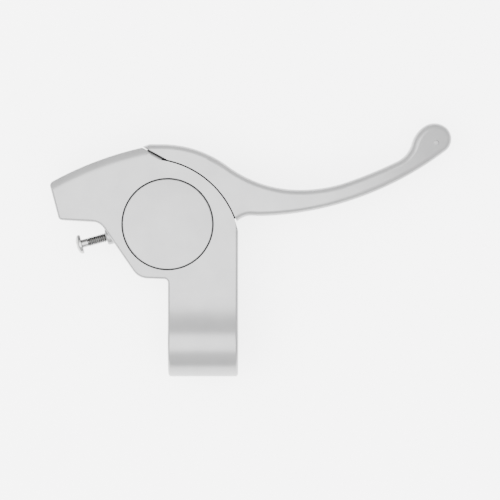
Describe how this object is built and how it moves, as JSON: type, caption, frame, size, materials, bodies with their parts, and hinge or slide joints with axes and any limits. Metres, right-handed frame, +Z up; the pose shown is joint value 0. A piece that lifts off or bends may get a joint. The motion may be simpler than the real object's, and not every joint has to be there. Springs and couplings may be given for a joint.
{
  "type": "bicycle brake lever",
  "caption": "Right-hand bicycle brake lever of silver cast aluminium, with clamp ring, round cover cap, curved blade with a rounded flat end and a reach screw.",
  "frame": {"origin": "centre of the handlebar bore of the clamp ring", "axes": "+X along the handlebar, outwards to the grip side; +Y forward from the bar to the blade; +Z up, to the cover cap side"},
  "size_m": [0.1653, 0.1047, 0.0318],
  "materials": {
    "cast_silver": "satin",
    "zinc_steel": "bright zinc",
    "spring_steel": "bright",
    "bush_nylon": "matte",
    "anchor_brass": "satin",
    "pad_rubber": "matte"
  },
  "bodies": {
    "mounting": {"housing": "cast_silver", "cover_cap": "cast_silver", "cap_clip": "spring_steel", "pivot_bolt": "zinc_steel", "pivot_washer": "zinc_steel", "pivot_nut": "zinc_steel", "return_spring": "spring_steel", "clamp_bolt": "zinc_steel", "clamp_washer": "zinc_steel", "stop_pad": "pad_rubber"},
    "pull": {"lever": "cast_silver", "upper_bush": "bush_nylon", "lower_bush": "bush_nylon"},
    "anchor": {"cable_anchor": "anchor_brass"},
    "reach": {"reach_screw": "zinc_steel"}
  },
  "joints": [
    {"name": "lever_hinge", "type": "hinge", "parent": "mounting", "child": "pull", "pos_m": [-0.0226, 0.0366, 0], "axis": [0, 0, -1], "range_deg": [0, 25], "stiffness_Nm_per_rad": 0.25, "springref_deg": -28.65, "deforming": ["return_spring"]},
    {"name": "anchor_swivel", "type": "hinge", "parent": "pull", "child": "anchor", "pos_m": [-0.0325, 0.0647, 0], "axis": [0, 0, 1], "range_deg": [-5, 30]},
    {"name": "reach_slide", "type": "slide", "parent": "mounting", "child": "reach", "axis": [0.9636, 0.2672, 0], "range_m": [-0.003, 0.0025]}
  ]
}
